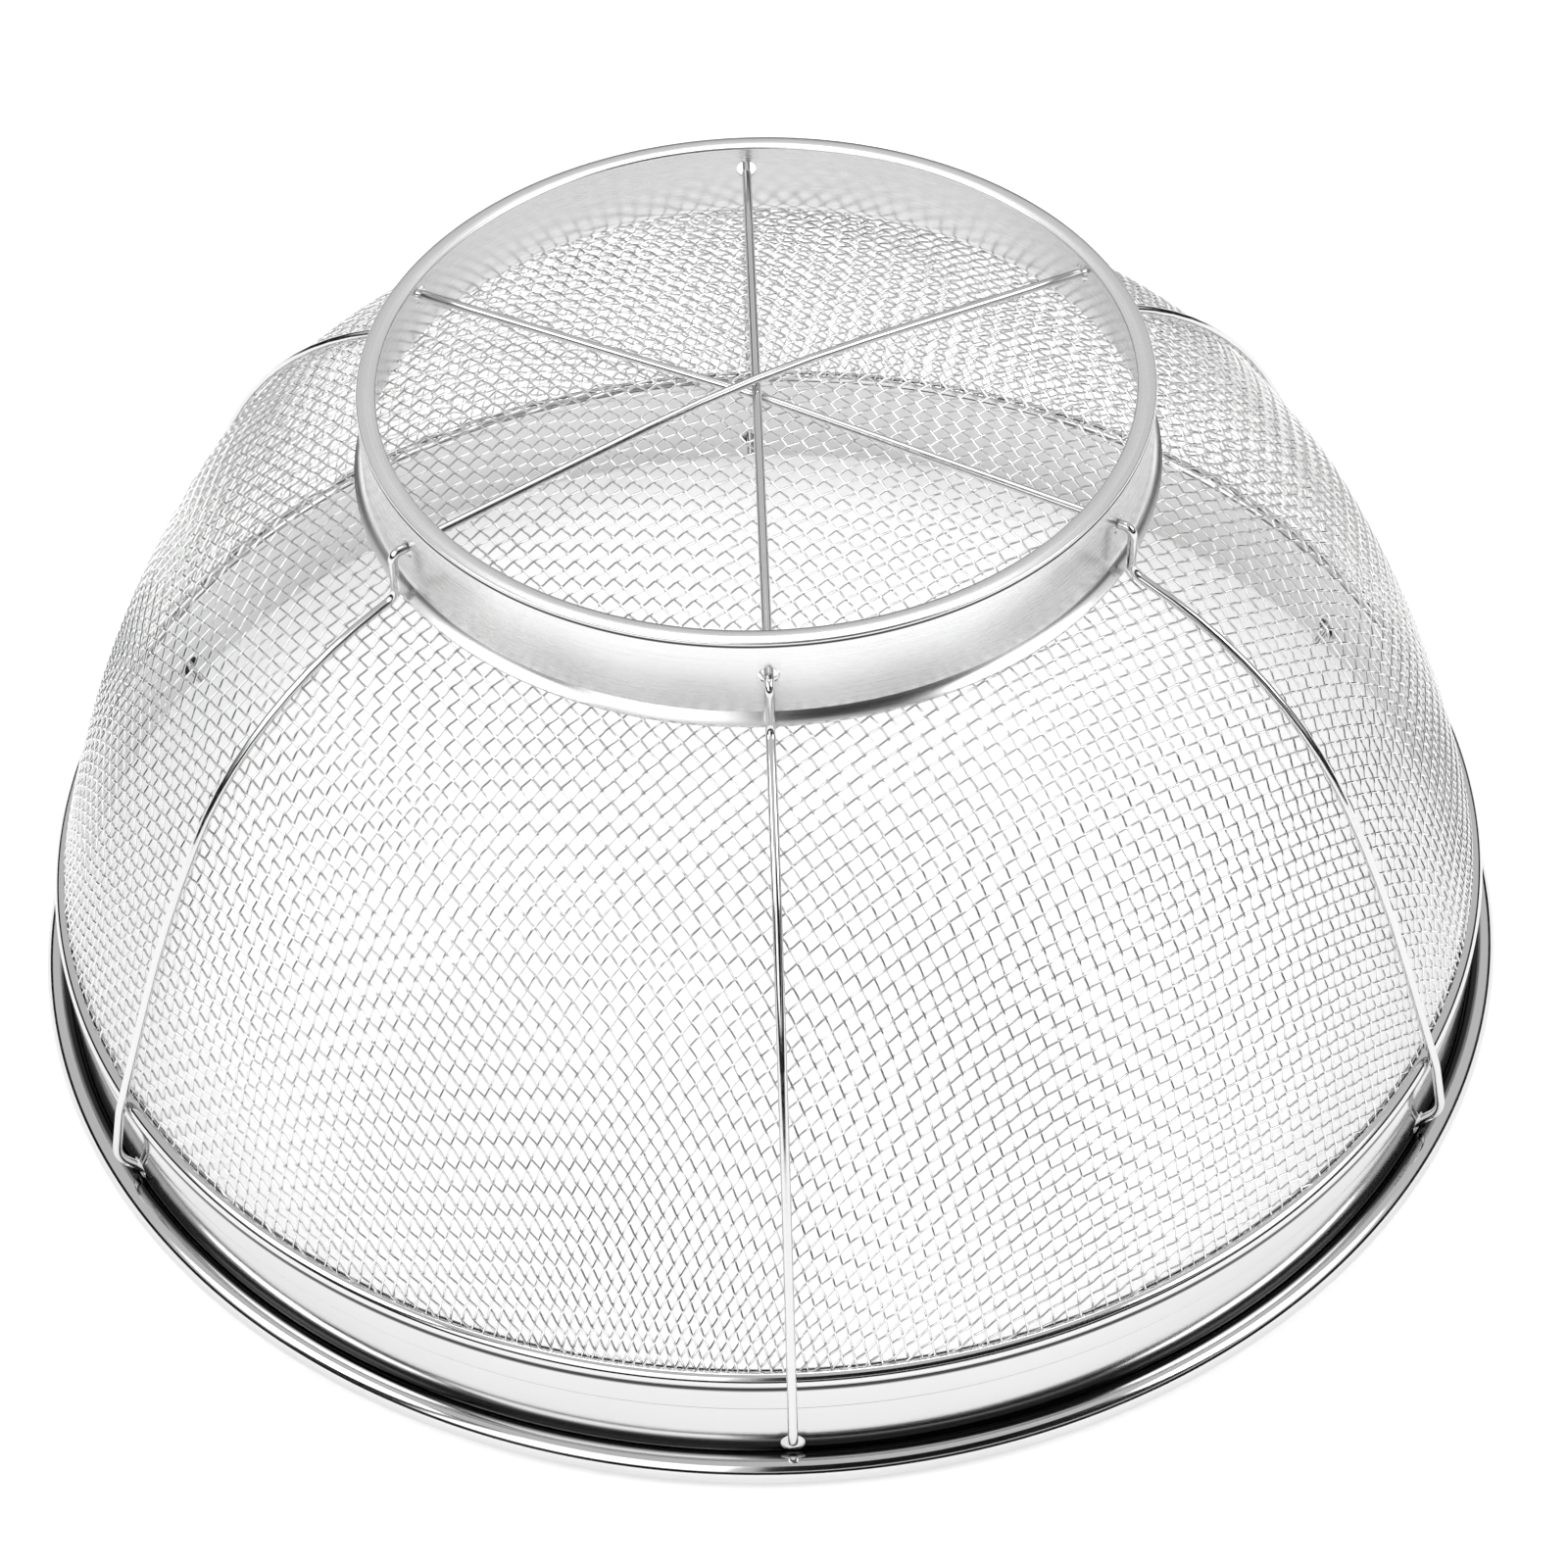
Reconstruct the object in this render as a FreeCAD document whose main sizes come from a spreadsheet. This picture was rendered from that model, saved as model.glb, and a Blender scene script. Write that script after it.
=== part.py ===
import FreeCAD, Part

# Wire-mesh colander, resting upside down on its rolled rim with its foot ring on top.
# The bowl is one piece of woven wire cloth with a domed bottom. Its edge is clamped in a binding
# ring, which overlaps a sheet-metal rim band that is rolled outwards over a core wire. A hemmed
# foot ring sits on the shoulder of the bowl. Three long rib wires each run from a hole in the rim
# band up the outside of the cloth, through the foot ring, across the dome and down to the
# opposite side, so that six ribs show.
#
# Origin: on the bowl's axis, in the plane that the rim rests on. +Z: from the rim to the foot
# ring. Sections are drawn in the XZ plane, radius across and height up. Millimetres and degrees.

import math
import os
import Sketcher
from FreeCAD import Placement, Rotation, Vector

SIZES = [
    ("rim_radius", 140.0, "outermost radius of the rolled rim"),
    ("rim_bead_radius", 2.7, "outer radius of the rolled rim's round section"),
    ("sheet_gauge", 0.5, "thickness of the rim band and foot ring"),
    ("curl_slit", 0.2, "slit between the curl's free edge and the band"),
    ("core_gap", 0.3, "room round the core wire inside the curl"),
    ("binding_height", 23.3, "height of the binding bead's centre"),
    ("binding_bead_radius", 1.75, "outer radius of the binding bead"),
    ("binding_gauge", 0.4, "thickness of the binding ring"),
    ("binding_skirt", 6.4, "drop of the binding skirt below the bead's centre"),
    ("binding_proud", 0.2, "how far the bead stands out from its skirt"),
    ("skirt_root", 1.05, "drop of the skirt's upper edge below the bead's centre"),
    ("slot_low", 0.9, "rise of the cloth's slot above the bead's centre, at its bottom"),
    ("slot_high", 2.3, "rise of that slot at its top"),
    ("fit_gap", 0.1, "gap between nested sheets"),
    ("mesh_thickness", 0.9, "thickness of the cloth, two wires"),
    ("mesh_gap", 0.15, "room on each side of the cloth where it enters the bead"),
    ("lean_share", 0.3776, "lean of the cloth at the rim, as a share of the bowl's mean lean"),
    ("seat_height", 115.0, "height of the cloth under the foot ring's edge"),
    ("dome_rise", 11.5, "rise of the dome from there to its top"),
    ("foot_radius", 69.6, "outer radius of the foot ring's upright band"),
    ("foot_height", 17.5, "height of the foot ring"),
    ("foot_flare", 1.6, "radius of the flare at the foot ring's lower edge"),
    ("hem_width", 3.5, "width of the flat hem on top of the foot ring"),
    ("hem_thickness", 1.0, "thickness of the folded hem"),
    ("hem_round", 0.45, "rounding of the hem's edges"),
    ("seat_gap", 0.3, "gap between the cloth and the foot ring's flare"),
    ("rib_radius", 0.85, "radius of the rib wire"),
    ("rib_gap", 0.15, "gap between a rib and what it lies on"),
    ("foot_hole_radius", 1.8, "radius of a rib's hole in the foot ring"),
    ("foot_hole_drop", 7.3, "drop of that hole's centre below the foot ring's top"),
    ("rim_hole_radius", 2.1, "radius of a rib's hole in the rim band"),
    ("rim_hole_height", 6.8, "height of that hole's centre"),
    ("bow_height", 12.4, "height where a rib's end bows furthest out"),
    ("bow_inset", 0.9, "how far that bow's corner is inside the rim's edge"),
    ("rib_tail", 4.0, "length of a rib's end inside the rim band"),
    ("elbow_bend", 1.6, "bend radius of a rib outside the foot hole"),
    ("heel_bend", 3.0, "bend radius of a rib where it meets the cloth"),
    ("bead_bend", 15.0, "bend radius of a rib below the binding bead"),
    ("bow_bend", 6.0, "bend radius of a rib's bow"),
]

# Each rib is laid over the one before it, a sixth of a turn round.
RIBS = ["rib_wire_right", "rib_wire_front", "rib_wire_left"]
HOLE_COUNT = 2 * len(RIBS)
FIRST_RIB_ANGLE = -30.0

doc = FreeCAD.newDocument("wire_mesh_colander")
sheet = doc.addObject("Spreadsheet::Sheet", "sizes")
for row, (alias, number, meaning) in enumerate(SIZES, start=1):
    sheet.set(f"A{row}", meaning)
    sheet.set(f"B{row}", str(number))
    sheet.setAlias(f"B{row}", alias)
doc.recompute()

# Places that several pieces share, as expressions on the sheet.
CURL_RADIUS = "(sizes.rim_radius - sizes.rim_bead_radius)"
BAND_IN = f"({CURL_RADIUS} - sizes.rim_bead_radius)"
BAND_OUT = f"({BAND_IN} + sizes.sheet_gauge)"
SKIRT_IN = f"({BAND_OUT} + sizes.fit_gap)"
SKIRT_OUT = f"({SKIRT_IN} + sizes.binding_gauge)"
BINDING_RADIUS = f"({SKIRT_OUT} + sizes.binding_proud - sizes.binding_bead_radius)"
BAND_TOP = "(sizes.binding_height - sizes.binding_bead_radius - sizes.fit_gap)"
SEAT_RADIUS = "(sizes.foot_radius + sizes.foot_flare)"
MEAN_LEAN = f"atan(({BINDING_RADIUS} - {SEAT_RADIUS}) / (sizes.seat_height - sizes.binding_height))"
MOUTH_LEAN = f"(sizes.lean_share * {MEAN_LEAN})"
SEAT_SLOPE = f"(2 * atan(sizes.dome_rise / {SEAT_RADIUS}))"
FOOT_LOW = f"(sizes.seat_height + sizes.mesh_thickness / 2 / cos({SEAT_SLOPE}) + sizes.seat_gap)"
FOOT_TOP = f"({FOOT_LOW} + sizes.foot_height)"
FOOT_HOLE_HEIGHT = f"({FOOT_TOP} - sizes.foot_hole_drop)"


def size(expression):
    """Value of an expression on the sheet: plain, or an angle in degrees."""
    found = sheet.evalExpression(expression)
    return float(getattr(found, "Value", found))


# Sheet-metal pieces, turned about Z.


def new_body(label):
    body = doc.addObject("PartDesign::Body", label)
    body.Label = label
    return body


def origin_item(body, role):
    return next(item for item in body.Origin.OriginFeatures if item.Role == role)


def new_sketch(body, name):
    sketch = body.newObject("Sketcher::SketchObject", name)
    sketch.AttachmentSupport = [(origin_item(body, "XZ_Plane"), "")]
    sketch.MapMode = "FlatFace"
    return sketch


def bind(sketch, kind, places, expression):
    """Add a dimension whose value follows an expression on the sheet."""
    number = sketch.addConstraint(Sketcher.Constraint(kind, *places, size(expression)))
    sketch.setExpression(f"Constraints[{number}]", expression)


def hold(sketch, edge, point, across, up):
    """Hold a point of an edge at a radius and a height."""
    bind(sketch, "DistanceX", (-1, 1, edge, point), across)
    bind(sketch, "DistanceY", (-1, 1, edge, point), up)


def polygon_sketch(body, name, corners):
    """Straight-sided section with its corners given as (radius, height) expressions."""
    sketch = new_sketch(body, name)
    spots = [Vector(size(across), size(up), 0) for across, up in corners]
    for number, (across, up) in enumerate(corners):
        following = (number + 1) % len(corners)
        sketch.addGeometry(Part.LineSegment(spots[number], spots[following]), False)
        hold(sketch, number, 1, across, up)
    for number in range(len(corners)):
        following = (number + 1) % len(corners)
        sketch.addConstraint(Sketcher.Constraint("Coincident", number, 2, following, 1))
    return sketch


def rectangle_sketch(body, name, inner, outer, low, high):
    corners = [(inner, low), (outer, low), (outer, high), (inner, high)]
    return polygon_sketch(body, name, corners)


def circle_sketch(body, name, across, up, radii):
    """Circles about one centre."""
    sketch = new_sketch(body, name)
    centre = Vector(size(across), size(up), 0)
    for number, radius in enumerate(radii):
        sketch.addGeometry(Part.Circle(centre, Vector(0, 0, 1), size(radius)), False)
        hold(sketch, number, 3, across, up)
        bind(sketch, "Radius", (number,), radius)
    return sketch


def quarter_sketch(body, name, across, up, radii):
    """Quarter of a ring between two radii, inwards of its centre and below it."""
    sketch = new_sketch(body, name)
    centre = Vector(size(across), size(up), 0)
    for number, radius in enumerate(radii):
        circle = Part.Circle(centre, Vector(0, 0, 1), size(radius))
        sketch.addGeometry(Part.ArcOfCircle(circle, math.pi, 1.5 * math.pi), False)
        hold(sketch, number, 3, across, up)
        bind(sketch, "Radius", (number,), radius)
        sketch.addConstraint(Sketcher.Constraint("Horizontal", number, 1, number, 3))
        sketch.addConstraint(Sketcher.Constraint("Vertical", number, 2, number, 3))
    for point in (1, 2):
        ends = [sketch.getPoint(number, point) for number in (0, 1)]
        line = sketch.addGeometry(Part.LineSegment(*ends), False)
        sketch.addConstraint(Sketcher.Constraint("Coincident", line, 1, 0, point))
        sketch.addConstraint(Sketcher.Constraint("Coincident", line, 2, 1, point))
    return sketch


def turn(body, kind, name, sketch):
    """Revolution or groove of a section right round Z."""
    feature = body.newObject(f"PartDesign::{kind}", name)
    feature.Profile = sketch
    feature.ReferenceAxis = (sketch, ["V_Axis"])
    feature.Angle = 360
    doc.recompute()
    return feature


def ring_edges(shape, spots):
    """Names of the circular edges at given (radius, height) places."""
    names = []
    for number, edge in enumerate(shape.Edges, start=1):
        curve = edge.Curve
        if not isinstance(curve, Part.Circle):
            continue
        for across, up in spots:
            if abs(curve.Radius - size(across)) < 1e-4 and abs(curve.Center.z - size(up)) < 1e-4:
                names.append(f"Edge{number}")
    return names


def round_off(body, name, spots, radius):
    """Fillet on the circular edges at given places."""
    base = body.Tip
    feature = body.newObject("PartDesign::Fillet", name)
    feature.Base = (base, ring_edges(base.Shape, spots))
    feature.setExpression("Radius", radius)
    doc.recompute()


def drill_row(body, name, height, radius):
    """Radial holes for the ribs, evenly spaced round the body."""
    before = body.Shape.Volume
    pocket = body.newObject("PartDesign::Pocket", name)
    pocket.Profile = circle_sketch(body, f"{name}_section", "0", height, [radius])
    pocket.Type = "Length"
    pocket.setExpression("Length", "sizes.rim_radius")
    doc.recompute()
    pattern = body.newObject("PartDesign::PolarPattern", f"{name}_row")
    pattern.Originals = [pocket]
    pattern.Axis = (origin_item(body, "Z_Axis"), [""])
    pattern.Angle = 360
    pattern.Occurrences = HOLE_COUNT
    body.Tip = pattern
    doc.recompute()
    if body.Shape.Volume >= before:
        raise RuntimeError(f"{name} cut nothing")


def make_rim_band():
    """Upright band whose lower edge is rolled outwards to a round curl with a fine slit."""
    body = new_body("rim_band")
    section = rectangle_sketch(body, "band_section", BAND_IN, BAND_OUT, "sizes.rim_bead_radius",
                               BAND_TOP)
    turn(body, "Revolution", "band", section)
    walls = ["sizes.rim_bead_radius", "sizes.rim_bead_radius - sizes.sheet_gauge"]
    section = circle_sketch(body, "curl_section", CURL_RADIUS, "sizes.rim_bead_radius", walls)
    turn(body, "Revolution", "curl", section)
    slit_out = f"{BAND_OUT} + sizes.curl_slit"
    section = rectangle_sketch(body, "slit_section", BAND_OUT, slit_out, "sizes.rim_bead_radius",
                               "2 * sizes.rim_bead_radius")
    turn(body, "Groove", "slit", section)
    drill_row(body, "rib_hole", "sizes.rim_hole_height", "sizes.rim_hole_radius")
    return body


def make_rim_core_wire():
    """Wire that the rim is rolled over."""
    ring = doc.addObject("Part::Torus", "rim_core_wire")
    ring.Label = "rim_core_wire"
    ring.setExpression("Radius1", CURL_RADIUS)
    ring.setExpression("Radius2", "sizes.rim_bead_radius - sizes.sheet_gauge - sizes.core_gap")
    ring.setExpression("Placement.Base.z", "sizes.rim_bead_radius")
    return ring


def make_binding_ring():
    """Hollow bead that clamps the cloth's edge, with a skirt that overlaps the rim band."""
    body = new_body("mesh_binding_ring")
    walls = ["sizes.binding_bead_radius", "sizes.binding_bead_radius - sizes.binding_gauge"]
    section = circle_sketch(body, "bead_section", BINDING_RADIUS, "sizes.binding_height", walls)
    turn(body, "Revolution", "bead", section)
    skirt_low = "sizes.binding_height - sizes.binding_skirt"
    skirt_high = "sizes.binding_height - sizes.skirt_root"
    section = rectangle_sketch(body, "skirt_section", SKIRT_IN, SKIRT_OUT, skirt_low, skirt_high)
    turn(body, "Revolution", "skirt", section)
    # The cloth leaves the bead upwards and inwards, so its slot leans the same way.
    half = f"(sizes.mesh_thickness / 2 / cos({MOUTH_LEAN}) + sizes.mesh_gap)"
    rises = ["sizes.slot_low", "sizes.slot_high"]
    low, high = [(f"{BINDING_RADIUS} - {rise} * tan({MOUTH_LEAN})",
                  f"sizes.binding_height + {rise}") for rise in rises]
    corners = [(f"{low[0]} - {half}", low[1]), (f"{low[0]} + {half}", low[1]),
               (f"{high[0]} + {half}", high[1]), (f"{high[0]} - {half}", high[1])]
    turn(body, "Groove", "mesh_slot", polygon_sketch(body, "slot_section", corners))
    return body


def make_foot_ring():
    """Upright band with a flat hem folded in at the top and a flare at its lower edge."""
    body = new_body("foot_ring")
    hem_in = "sizes.foot_radius - sizes.hem_width"
    hem_low = f"{FOOT_TOP} - sizes.hem_thickness"
    section = rectangle_sketch(body, "hem_section", hem_in, "sizes.foot_radius", hem_low, FOOT_TOP)
    turn(body, "Revolution", "hem", section)
    band_in = "sizes.foot_radius - sizes.sheet_gauge"
    band_low = f"{FOOT_LOW} + sizes.sheet_gauge + sizes.foot_flare"
    band_high = f"{FOOT_TOP} - sizes.hem_thickness / 2"
    section = rectangle_sketch(body, "band_section", band_in, "sizes.foot_radius", band_low,
                               band_high)
    turn(body, "Revolution", "band", section)
    walls = ["sizes.foot_flare", "sizes.foot_flare + sizes.sheet_gauge"]
    section = quarter_sketch(body, "flare_section", SEAT_RADIUS, band_low, walls)
    turn(body, "Revolution", "flare", section)
    hem_edges = [(hem_in, hem_low), (hem_in, FOOT_TOP), ("sizes.foot_radius", FOOT_TOP)]
    round_off(body, "hem_rounds", hem_edges, "sizes.hem_round")
    drill_row(body, "rib_hole", FOOT_HOLE_HEIGHT, "sizes.foot_hole_radius")
    return body


# Bowl: its section is three arcs in a row. A slope is the angle of the section below level, so
# it grows from nothing at the dome's top to nearly upright at the rim.


def heading(slope):
    """Direction outwards and down the section."""
    angle = math.radians(slope)
    return Vector(math.cos(angle), 0, -math.sin(angle))


def outward(slope):
    """Direction square to the section, away from the bowl's inside."""
    angle = math.radians(slope)
    return Vector(math.sin(angle), 0, math.cos(angle))


class Bend:
    """Arc of the section, from one slope to the next."""

    def __init__(self, start, first, last, reach):
        """reach is the length of the tangent at each end, up to where the two meet."""
        self.first = first
        self.last = last
        self.radius = reach / math.tan(math.radians(last - first) / 2)
        self.centre = start - outward(first) * self.radius

    def spot(self, slope, offset):
        return self.centre + outward(slope) * (self.radius + offset)

    def edge(self, offset):
        middle = (self.first + self.last) / 2
        spots = [self.spot(slope, offset) for slope in (self.first, middle, self.last)]
        return Part.Arc(*spots).toShape()

    def corner(self, first, last, offset):
        """Where the tangents at two slopes meet."""
        half = math.radians(last - first) / 2
        return self.centre + outward((first + last) / 2) * ((self.radius + offset) / math.cos(half))


def bowl_bends():
    """Dome, shoulder and side. The last two have equal tangents and meet smoothly."""
    seat_slope = size(SEAT_SLOPE)
    mouth_slope = 90.0 - size(MOUTH_LEAN)
    top = Vector(0, 0, size("sizes.seat_height + sizes.dome_rise"))
    seat = Vector(size(SEAT_RADIUS), 0, size("sizes.seat_height"))
    mouth = Vector(size(BINDING_RADIUS), 0, size("sizes.binding_height"))
    dome = Bend(top, 0.0, seat_slope, (seat - top).Length / 2 / math.cos(math.radians(seat_slope) / 2))
    across = mouth - seat
    both = heading(seat_slope) + heading(mouth_slope)
    spread = 1.0 - heading(seat_slope).dot(heading(mouth_slope))
    along = across.dot(both)
    reach = (math.sqrt(along ** 2 + 2 * spread * across.dot(across)) - along) / (2 * spread)
    run = across - both * reach
    waist_slope = math.degrees(math.atan2(-run.z, run.x))
    shoulder = Bend(seat, seat_slope, waist_slope, reach)
    side = Bend(shoulder.spot(waist_slope, 0), waist_slope, mouth_slope, reach)
    return dome, shoulder, side


def make_mesh_bowl(bends):
    """Woven cloth, as a closed shell as thick as its two layers of wire."""
    half = size("sizes.mesh_thickness") / 2
    outer = [bend.edge(half) for bend in bends]
    inner = [bend.edge(-half) for bend in bends]
    dome, _, side = bends
    axis_line = Part.LineSegment(dome.spot(0, -half), dome.spot(0, half)).toShape()
    mouth_line = Part.LineSegment(side.spot(side.last, half), side.spot(side.last, -half)).toShape()
    section = Part.Face(Part.Wire([axis_line, *outer, mouth_line, *reversed(inner)]))
    bowl = doc.addObject("Part::Feature", "mesh_bowl")
    bowl.Label = "mesh_bowl"
    bowl.Shape = section.revolve(Vector(0, 0, 0), Vector(0, 0, 1), 360)
    return bowl


# Ribs: straight runs and tangent arcs in one upright plane, given as corners and bend radii.


def rib_corners(bends, level):
    """Corners of half a rib, from the middle outwards, for its level in the crossing."""
    dome, shoulder, side = bends
    radius = size("sizes.rib_radius")
    gap = size("sizes.rib_gap")
    offset = size("sizes.mesh_thickness") / 2 + gap + radius
    # Over the dome it keeps its level, up to where it heads straight for its hole in the foot ring.
    crossing_bend = dome.radius + offset + level * (2 * radius + gap)
    foot_hole = Vector(size("sizes.foot_radius - sizes.sheet_gauge / 2"), 0, size(FOOT_HOLE_HEIGHT))
    reach = foot_hole - dome.centre
    fall = math.atan2(reach.x, reach.z) - math.acos(crossing_bend / reach.Length)
    peak = dome.centre + Vector(0, 0, crossing_bend / math.cos(fall))
    # Outside the foot ring the rib turns down past the flare and then along the cloth.
    run = size(SEAT_RADIUS) + radius + 2 * gap
    elbow = peak + (foot_hole - peak) * (run / foot_hole.x)
    heel_bend = size("sizes.heel_bend")
    landing = math.degrees(math.asin((run + heel_bend - shoulder.centre.x) / (shoulder.radius + offset)))
    contact = shoulder.spot(landing, offset)
    heel = Vector(run, 0, contact.z + heel_bend * math.tan(math.radians(landing)))
    # It leaves the cloth on a line that just clears the binding bead.
    bead_reach = size("sizes.binding_bead_radius") + gap + radius
    parting = side.last - math.degrees(math.acos((side.radius + offset - bead_reach) / side.radius))
    leaving = side.spot(parting, offset)
    drop = leaving.z - size("sizes.binding_height")
    bead = leaving + heading(parting) * (drop / math.sin(math.radians(parting)))
    bow = Vector(size("sizes.rim_radius - sizes.bow_inset"), 0, size("sizes.bow_height"))
    rim_hole = Vector(size(f"{BAND_OUT} - sizes.sheet_gauge / 2"), 0, size("sizes.rim_hole_height"))
    tail = rim_hole + (rim_hole - bow).normalize() * size("sizes.rib_tail")
    return [
        (peak, crossing_bend),
        (elbow, size("sizes.elbow_bend")),
        (heel, heel_bend),
        (shoulder.corner(landing, shoulder.last, offset), shoulder.radius + offset),
        (side.corner(side.first, parting, offset), side.radius + offset),
        (bead, size("sizes.bead_bend")),
        (bow, size("sizes.bow_bend")),
        (tail, 0.0),
    ]


def bent_path(corners):
    """Wire through corners given as (point, bend radius), with each corner rounded."""
    edges = []
    here = corners[0][0]
    for number in range(1, len(corners)):
        corner, bend = corners[number]
        arrive = (corner - here).normalize()
        if bend == 0.0:
            edges.append(Part.LineSegment(here, corner).toShape())
            continue
        leave = (corners[number + 1][0] - corner).normalize()
        turn_angle = arrive.getAngle(leave)
        cut = bend * math.tan(turn_angle / 2)
        start = corner - arrive * cut
        finish = corner + leave * cut
        inner = (leave - arrive).normalize()
        middle = corner + inner * (bend / math.cos(turn_angle / 2) - bend)
        if (start - here).dot(arrive) < -1e-6:
            raise RuntimeError("two bends of a rib run into each other")
        if (start - here).Length > 1e-6:
            edges.append(Part.LineSegment(here, start).toShape())
        edges.append(Part.Arc(start, middle, finish).toShape())
        here = finish
    return Part.Wire(edges)


def make_rib(bends, label, level):
    """One long wire, the same on both sides of the bowl's axis."""
    half = rib_corners(bends, level)
    mirrored = [(Vector(-spot.x, 0, spot.z), bend) for spot, bend in reversed(half[1:])]
    path = bent_path(mirrored + half)
    start = mirrored[0][0]
    direction = (mirrored[1][0] - start).normalize()
    radius = size("sizes.rib_radius")
    section = Part.Face(Part.Wire(Part.Circle(start, direction, radius).toShape()))
    rib = doc.addObject("Part::Feature", label)
    rib.Label = label
    rib.Shape = path.makePipe(section)
    if abs(rib.Shape.Volume / (math.pi * radius ** 2 * path.Length) - 1) > 0.01:
        raise RuntimeError(f"{label} has the wrong volume")
    angle = FIRST_RIB_ANGLE - level * 360.0 / HOLE_COUNT
    rib.Placement = Placement(Vector(0, 0, 0), Rotation(Vector(0, 0, 1), angle))
    return rib


bowl_arcs = bowl_bends()
pieces = [
    make_mesh_bowl(bowl_arcs),
    make_binding_ring(),
    make_rim_band(),
    make_rim_core_wire(),
    make_foot_ring(),
]
pieces += [make_rib(bowl_arcs, label, level) for level, label in enumerate(RIBS)]
doc.recompute()

for item in doc.Objects:
    if "Invalid" in item.State or "Error" in item.State:
        raise RuntimeError(f"{item.Label} failed to build")
for piece in pieces:
    if piece.Shape.isNull() or not piece.Shape.isValid():
        raise RuntimeError(f"{piece.Label} has a bad shape")

os.makedirs("parts", exist_ok=True)
for piece in pieces:
    piece.Shape.exportStep(f"parts/{piece.Label}.step")
    print(piece.Label, len(piece.Shape.Solids), round(piece.Shape.Volume, 1), piece.Shape.BoundBox)
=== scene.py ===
"""Wire-mesh colander, upside down on its rolled rim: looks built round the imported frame."""

import math

import bpy
import numpy as np
from bpy.props import FloatProperty, FloatVectorProperty, IntProperty, PointerProperty
from mathutils import Matrix, Vector


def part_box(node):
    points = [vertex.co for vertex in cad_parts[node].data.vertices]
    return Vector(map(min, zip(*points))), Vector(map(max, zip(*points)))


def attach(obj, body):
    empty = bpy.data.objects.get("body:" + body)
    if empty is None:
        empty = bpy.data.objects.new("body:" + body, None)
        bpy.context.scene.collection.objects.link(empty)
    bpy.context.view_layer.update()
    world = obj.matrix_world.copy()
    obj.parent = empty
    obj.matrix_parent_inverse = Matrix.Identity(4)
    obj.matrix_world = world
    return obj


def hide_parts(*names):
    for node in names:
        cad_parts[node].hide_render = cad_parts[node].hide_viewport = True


bl_info = {
    "name": "Wire Mesh Colander",
    "version": (1, 0, 0),
    "blender": (4, 5, 0),
    "location": "3D View > Sidebar > Colander",
    "description": "Weaves the wire cloth and finishes the steel parts of a colander",
    "category": "Object",
}

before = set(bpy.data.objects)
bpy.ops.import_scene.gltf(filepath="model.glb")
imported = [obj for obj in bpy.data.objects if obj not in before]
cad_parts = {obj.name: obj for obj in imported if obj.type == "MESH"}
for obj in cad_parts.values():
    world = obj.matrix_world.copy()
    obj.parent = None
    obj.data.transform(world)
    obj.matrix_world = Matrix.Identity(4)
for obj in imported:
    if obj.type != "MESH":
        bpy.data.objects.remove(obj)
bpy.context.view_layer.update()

MM = 0.001
CLOTH_THICKNESS = 0.9 * MM
BEAD_RADIUS = 1.75 * MM
FOOT_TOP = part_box("foot_ring")[1]
BINDING_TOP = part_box("mesh_binding_ring")[1]
DOME_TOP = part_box("mesh_bowl")[1].z
RIM_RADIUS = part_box("rim_band")[1].x
# Ribs in the order they are laid over one another, with their bearings.
RIB_ANGLES = {
    "rib_wire_right": math.radians(-30),
    "rib_wire_front": math.radians(-90),
    "rib_wire_left": math.radians(-150),
}


# ---------------------------------------------------------------- settings

LENGTH = {"unit": "LENGTH", "precision": 6}


class ClothSettings(bpy.types.PropertyGroup):
    """Sizes of the woven wire cloth and of the bowl it is pressed into."""

    pitch: FloatProperty(
        name="Pitch", description="Distance from one wire to the next", default=2.57 * MM, **LENGTH
    )
    wire_radius: FloatProperty(
        name="Wire radius", description="Radius of one wire of the cloth",
        default=0.225 * MM, **LENGTH,
    )
    turned: FloatProperty(
        name="Turn of the weave", description="Angle of the first wire direction from +X",
        default=math.radians(35), subtype="ANGLE",
    )
    wire_sides: IntProperty(
        name="Wire sides", description="Flat sides round a wire", default=6, min=4
    )
    wire_steps: IntProperty(
        name="Wire steps",
        description="Lengths that a wire is drawn in from one crossing to the next",
        default=3, min=1,
    )
    wander: FloatProperty(
        name="Wander", description="How far the crossings stray from an even weave",
        default=0.07 * MM, **LENGTH,
    )
    seat_radius: FloatProperty(
        name="Seat radius", description="Radius where the foot ring sits on the bowl",
        default=FOOT_TOP.x, **LENGTH,
    )
    dome_rise: FloatProperty(
        name="Dome rise", description="Rise of the bowl's bottom from the foot ring to the middle",
        default=11.5 * MM, **LENGTH,
    )
    dome_height: FloatProperty(
        name="Dome height", description="Height of the cloth's middle layer at the top of the dome",
        default=DOME_TOP - CLOTH_THICKNESS / 2, **LENGTH,
    )
    mouth_radius: FloatProperty(
        name="Mouth radius", description="Radius at which the cloth ends, inside the binding bead",
        default=BINDING_TOP.x - BEAD_RADIUS, **LENGTH,
    )
    mouth_height: FloatProperty(
        name="Mouth height", description="Height at which the cloth ends",
        default=BINDING_TOP.z - BEAD_RADIUS, **LENGTH,
    )
    mouth_lean: FloatProperty(
        name="Mouth lean", description="Lean of the cloth from upright where it enters the bead",
        default=math.radians(13), subtype="ANGLE",
    )


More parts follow.
